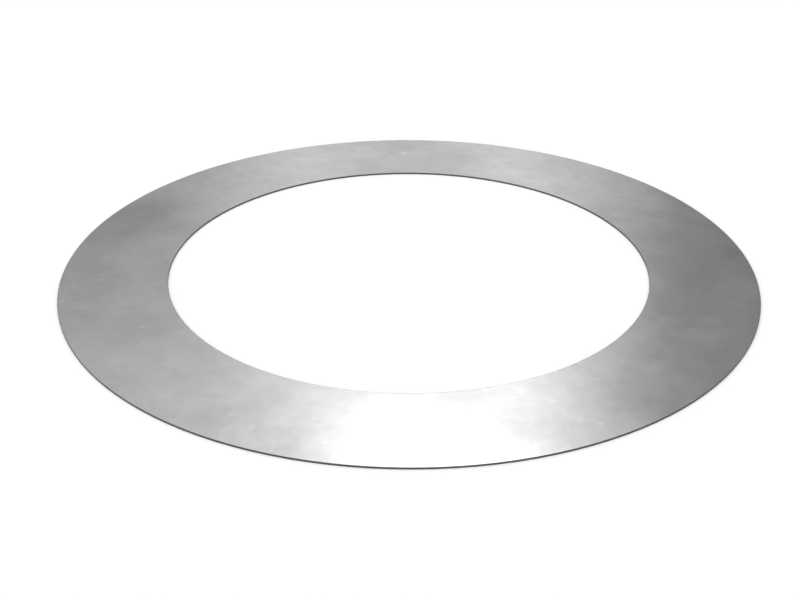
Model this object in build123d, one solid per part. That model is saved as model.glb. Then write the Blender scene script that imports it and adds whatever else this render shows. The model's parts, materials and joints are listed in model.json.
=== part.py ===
from build123d import *

import os

# Shim ring 25 x 36 x 0.1 mm: one flat ring punched from hard-rolled steel strip.
#
# It packs out the end play between a bearing, gear or sleeve and its shoulder or
# retaining ring. The bore goes over the shaft, and both faces bear on the neighbours.
#
# Frame: millimetres, the lower face on Z = 0, the ring's axis on +Z.

BORE_DIAMETER = 25.0
OUTER_DIAMETER = 36.0
THICKNESS = 0.1
EDGE_RADIUS = 0.015  # left on all four rims when the punching burr is tumbled off


def flat_ring():
    """The blank as it is punched, with square rims."""
    with BuildPart() as blank:
        with BuildSketch(Plane.XY):
            Circle(OUTER_DIAMETER / 2)
            Circle(BORE_DIAMETER / 2, mode=Mode.SUBTRACT)
        extrude(amount=THICKNESS)
    return blank.part


def tumbled(blank):
    """The blank with its upper and lower rims rounded, at the bore and outside."""
    rims = blank.edges().filter_by(GeomType.CIRCLE)
    return fillet(rims, EDGE_RADIUS)


os.makedirs("parts", exist_ok=True)
export_step(tumbled(flat_ring()), "parts/shim_ring.step")
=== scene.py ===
"""The shim ring in Blender: rolled-steel finish, white floor, soft studio and camera.

Everything is in metres in the CAD frame: the lower face on Z = 0, the axis on +Z.
"""

import json
from collections import namedtuple

import bmesh
import bpy
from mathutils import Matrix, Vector

MM = 0.001
WHITE = (1, 1, 1, 1)

# Camera: in front of the ring on -Y, aimed at a point just short of its centre.
CAMERA_BACK = 59.31 * MM
CAMERA_HEIGHT = 30.14 * MM
AIM = Vector((-0.42 * MM, -3.89 * MM, 0.1 * MM))
LENS = 56.81
SENSOR = 36.0

# Floor: a hair under the ring, so that the two faces don't coincide.
FLOOR_DROP = 0.002 * MM
FLOOR_HALF = 2.0
FLOOR_WHITE = 0.85
FLOOR_GLOW = 0.37

# Studio, as radiance by direction. Azimuth is in degrees from +Y, behind the ring, towards +X.
SWEEP = 1.0  # the white backdrop, up to SWEEP_TOP
SWEEP_TOP = (6, 14)
WALLS = 0.25
LEFT_FILL = 0.1
LEFT_EDGE = (-0.2, 0.2)  # sideways part of the direction, over which the left fill ends
CEILING = 0.3
CEILING_RISE = (25, 55)  # elevations over which the overhead light comes in

Panel = namedtuple("Panel", "azimuth half_width side_blur bottom bottom_blur radiance")
PANELS = (
    # The key light, high behind the ring: the white highlight at the front.
    Panel(azimuth=2, half_width=6, side_blur=3, bottom=33, bottom_blur=1, radiance=2.3),
    # A soft window on each side of it, reaching lower: the light band across the back.
    Panel(azimuth=5.5, half_width=4.5, side_blur=9, bottom=14, bottom_blur=6, radiance=0.75),
    Panel(azimuth=-5, half_width=4, side_blur=6, bottom=14, bottom_blur=6, radiance=0.6),
    # A dim one further left: the highlight's soft left end.
    Panel(azimuth=-17, half_width=8, side_blur=20, bottom=29, bottom_blur=1, radiance=0.5),
    # Left, right and behind the camera: what the ring shows from its other sides.
    Panel(azimuth=-95, half_width=24, side_blur=30, bottom=16, bottom_blur=16, radiance=0.8),
    Panel(azimuth=88, half_width=16, side_blur=20, bottom=18, bottom_blur=14, radiance=0.9),
    Panel(azimuth=178, half_width=22, side_blur=26, bottom=20, bottom_blur=18, radiance=0.9),
)
PANEL_TOP = (55, 65)

# Rolled steel. Each span is the part of its noise over which the effect goes from none to full.
STEEL = 0.55
MOTTLE_SIZE = 4 * MM
MOTTLE_SPAN = (0.2, 0.8)
MOTTLE = 0.115  # how much lighter or darker the cloudy mottle makes it, as a share
SPECK_SIZE = 0.5 * MM
SPECK_SPAN = (0.7, 0.8)
SPECK = 0.07  # how much lighter the sparse specks are, as a share
HAZE_SIZE = 6 * MM
HAZE_SPAN = (0.3, 0.7)
HAZE = (0.19, 0.25)  # roughness, from clear to hazy patches
WAVE_SIZE = 3 * MM
WAVE_DEPTH = 0.009 * MM

# The punched rims: their dark colour is painted shade on the thin walls and the edge roundings, and
# their higher roughness is the sheared edge's own.
RIM_PAINTED_SHADE = 0.115
RIM_ROUGHNESS = 0.5
RIM_SHADE_EDGE = (0.012 * MM, 0.022 * MM)  # from the rim, where the painted shade on the edge rounding ends


class Nodes:
    """A node tree, with short calls that add a node and link its inputs."""

    def __init__(self, tree):
        self.tree = tree
        tree.nodes.clear()

    def add(self, kind, inputs=None, **settings):
        """A new node. Settings are its own properties, and inputs are values or sockets."""
        node = self.tree.nodes.new(kind)
        for name, value in settings.items():
            setattr(node, name, value)
        for name, value in (inputs or {}).items():
            if isinstance(value, bpy.types.NodeSocket):
                self.tree.links.new(value, node.inputs[name])
            else:
                node.inputs[name].default_value = value
        return node

    def math(self, operation, *values):
        """The result of a Math node."""
        inputs = dict(enumerate(values))
        return self.add("ShaderNodeMath", inputs, operation=operation).outputs[0]

    def total(self, values):
        """The sum of several values."""
        result = values[0]
        for value in values[1:]:
            result = self.math("ADD", result, value)
        return result

    def ramp(self, value, span, low=0.0, high=1.0):
        """low up to the start of span, high from its end on, and a smooth step between."""
        inputs = {
            "Value": value,
            "From Min": span[0],
            "From Max": span[1],
            "To Min": low,
            "To Max": high,
        }
        kind = "ShaderNodeMapRange"
        return self.add(kind, inputs, interpolation_type="SMOOTHSTEP").outputs["Result"]

    def mix(self, share, low, high):
        """low where share is 0, high where it is 1."""
        inputs = {"Factor": share, "A": low, "B": high}
        return self.add("ShaderNodeMix", inputs).outputs["Result"]

    def noise(self, place, size, detail, roughness=0.5):
        """Fractal noise from 0 to 1, with its largest features about size metres across."""
        inputs = {"Vector": place, "Scale": 1 / size, "Detail": detail, "Roughness": roughness}
        return self.add("ShaderNodeTexNoise", inputs).outputs["Fac"]


def add_camera():
    """The camera that looks down at the ring from the front."""
    data = bpy.data.cameras.new("camera")
    data.lens = LENS
    data.sensor_width = SENSOR
    data.clip_start = 1 * MM
    data.clip_end = 100.0
    camera = bpy.data.objects.new("camera", data)
    camera.location = (0, -CAMERA_BACK, CAMERA_HEIGHT)
    sight = AIM - camera.location
    camera.rotation_euler = sight.to_track_quat("-Z", "Y").to_euler()
    bpy.context.scene.collection.objects.link(camera)
    bpy.context.scene.camera = camera


def panel_light(nodes, panel, azimuth, elevation):
    """One soft upright panel of light, by direction."""
    offset = nodes.math("SUBTRACT", azimuth, panel.azimuth)
    aside = nodes.math("ABSOLUTE", nodes.math("WRAP", offset, 180, -180))
    sides = blurred(panel.half_width, panel.side_blur)
    across = nodes.ramp(aside, sides, panel.radiance, 0)
    upwards = nodes.ramp(elevation, blurred(panel.bottom, panel.bottom_blur))
    below_top = nodes.ramp(elevation, PANEL_TOP, 1, 0)
    return nodes.math("MULTIPLY", across, nodes.math("MULTIPLY", upwards, below_top))


def blurred(edge, blur):
    """The span over which a blurred edge fades."""
    return (edge - blur / 2, edge + blur / 2)


def light_studio():
    """The world: a white sweep, dim walls, a fill on the left, a bright ceiling and panels."""
    world = bpy.data.worlds.new("studio")
    world.use_nodes = True
    bpy.context.scene.world = world
    nodes = Nodes(world.node_tree)
    direction = nodes.add("ShaderNodeTexCoord").outputs["Generated"]
    parts = nodes.add("ShaderNodeSeparateXYZ", {"Vector": direction}).outputs
    azimuth = nodes.math("DEGREES", nodes.math("ARCTAN2", parts["X"], parts["Y"]))
    elevation = nodes.math("DEGREES", nodes.math("ARCSINE", parts["Z"]))
    lights = [
        nodes.ramp(parts["X"], LEFT_EDGE, WALLS + LEFT_FILL, WALLS),
        nodes.ramp(elevation, CEILING_RISE, 0, CEILING),
    ]
    lights += [panel_light(nodes, panel, azimuth, elevation) for panel in PANELS]
    above = nodes.ramp(elevation, SWEEP_TOP)
    strength = nodes.mix(above, SWEEP, nodes.total(lights))
    background = nodes.add("ShaderNodeBackground", {"Color": WHITE, "Strength": strength})
    nodes.add("ShaderNodeOutputWorld", {"Surface": background.outputs[0]})


def floor_material():
    """Matt white that shows as plain white to the camera and in the metal."""
    material = bpy.data.materials.new("white_floor")
    material.use_nodes = True
    nodes = Nodes(material.node_tree)
    matt = nodes.add("ShaderNodeBsdfDiffuse", {"Color": (FLOOR_WHITE,) * 3 + (1,)})
    path = nodes.add("ShaderNodeLightPath").outputs
    seen = [path[f"Is {kind} Ray"] for kind in ("Camera", "Glossy", "Transmission")]
    strength = nodes.math("MULTIPLY", nodes.total(seen), FLOOR_GLOW)
    glow = nodes.add("ShaderNodeEmission", {"Strength": strength})
    both = nodes.add("ShaderNodeAddShader", {0: matt.outputs[0], 1: glow.outputs[0]})
    nodes.add("ShaderNodeOutputMaterial", {"Surface": both.outputs[0]})
    return material


def add_floor():
    """The wide plain floor under the ring."""
    mesh = bpy.data.meshes.new("floor")
    grid = bmesh.new()
    bmesh.ops.create_grid(grid, x_segments=8, y_segments=8, size=FLOOR_HALF)
    grid.to_mesh(mesh)
    grid.free()
    floor = bpy.data.objects.new("floor", mesh)
    floor.location.z = -FLOOR_DROP
    mesh.materials.append(floor_material())
    bpy.context.scene.collection.objects.link(floor)


def rim_share(nodes, place, bore, outside):
    """1 on the two punched rims and their edge roundings, where the painted shade goes, and 0 on the
    faces.
    """
    parts = nodes.add("ShaderNodeSeparateXYZ", {"Vector": place}).outputs
    square = nodes.math("MULTIPLY", parts["X"], parts["X"])
    radius = nodes.math("SQRT", nodes.math("MULTIPLY_ADD", parts["Y"], parts["Y"], square))
    from_bore = nodes.math("SUBTRACT", radius, bore)
    from_outside = nodes.math("SUBTRACT", outside, radius)
    return nodes.ramp(nodes.math("MINIMUM", from_bore, from_outside), RIM_SHADE_EDGE, 1, 0)


def steel_shade(nodes, place):
    """How light the steel is: a cloudy mottle with sparse lighter specks."""
    mottle = nodes.noise(place, MOTTLE_SIZE, detail=6, roughness=0.72)
    cloudy = nodes.ramp(mottle, MOTTLE_SPAN, STEEL * (1 - MOTTLE), STEEL * (1 + MOTTLE))
    spots = nodes.noise(place, SPECK_SIZE, detail=1)
    specks = nodes.ramp(spots, SPECK_SPAN, 0, STEEL * SPECK)
    return nodes.math("ADD", cloudy, specks)


def steel_material(bore, outside):
    """Bright rolled strip: a mottled, satin, faintly wavy face, and punched rims whose dark colour
    is painted shade.
    """
    material = bpy.data.materials.new("rolled_steel_painted_rim_shade")
    material.use_nodes = True
    nodes = Nodes(material.node_tree)
    place = nodes.add("ShaderNodeTexCoord").outputs["Object"]
    rim = rim_share(nodes, place, bore, outside)
    # painted shade: the rims and their edge roundings get a colour much darker than the steel
    tone = nodes.mix(rim, steel_shade(nodes, place), RIM_PAINTED_SHADE)
    color = nodes.add("ShaderNodeCombineColor", {"Red": tone, "Green": tone, "Blue": tone})
    haze = nodes.ramp(nodes.noise(place, HAZE_SIZE, detail=4), HAZE_SPAN, *HAZE)
    waves = nodes.noise(place, WAVE_SIZE, detail=5, roughness=0.55)
    bump = nodes.add("ShaderNodeBump", {"Height": waves, "Strength": 1.0, "Distance": WAVE_DEPTH})
    inputs = {
        "Base Color": color.outputs[0],
        "Metallic": 1.0,
        "Roughness": nodes.mix(rim, haze, RIM_ROUGHNESS),
        "Normal": bump.outputs["Normal"],
    }
    surface = nodes.add("ShaderNodeBsdfPrincipled", inputs)
    nodes.add("ShaderNodeOutputMaterial", {"Surface": surface.outputs[0]})
    return material


def finish_ring(frame):
    """Gives the CAD ring its steel."""
    ring = frame["nodes"]["shim_ring"]
    radii = {mount["name"]: mount.get("dims", {}).get("r_mm") for mount in frame["record"]["mounts"]}
    steel = steel_material(radii["shaft_bore"] * MM, radii["outer_rim"] * MM)
    ring.material_slots[0].material = steel


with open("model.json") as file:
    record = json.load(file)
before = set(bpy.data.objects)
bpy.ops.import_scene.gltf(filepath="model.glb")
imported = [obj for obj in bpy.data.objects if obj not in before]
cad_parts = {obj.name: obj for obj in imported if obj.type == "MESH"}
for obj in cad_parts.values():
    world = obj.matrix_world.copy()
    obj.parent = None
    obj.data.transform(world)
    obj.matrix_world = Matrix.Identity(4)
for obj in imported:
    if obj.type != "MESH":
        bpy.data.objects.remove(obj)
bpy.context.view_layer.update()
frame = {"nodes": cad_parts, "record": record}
bpy.context.scene.view_settings.view_transform = "Standard"
add_camera()
light_studio()
add_floor()
finish_ring(frame)
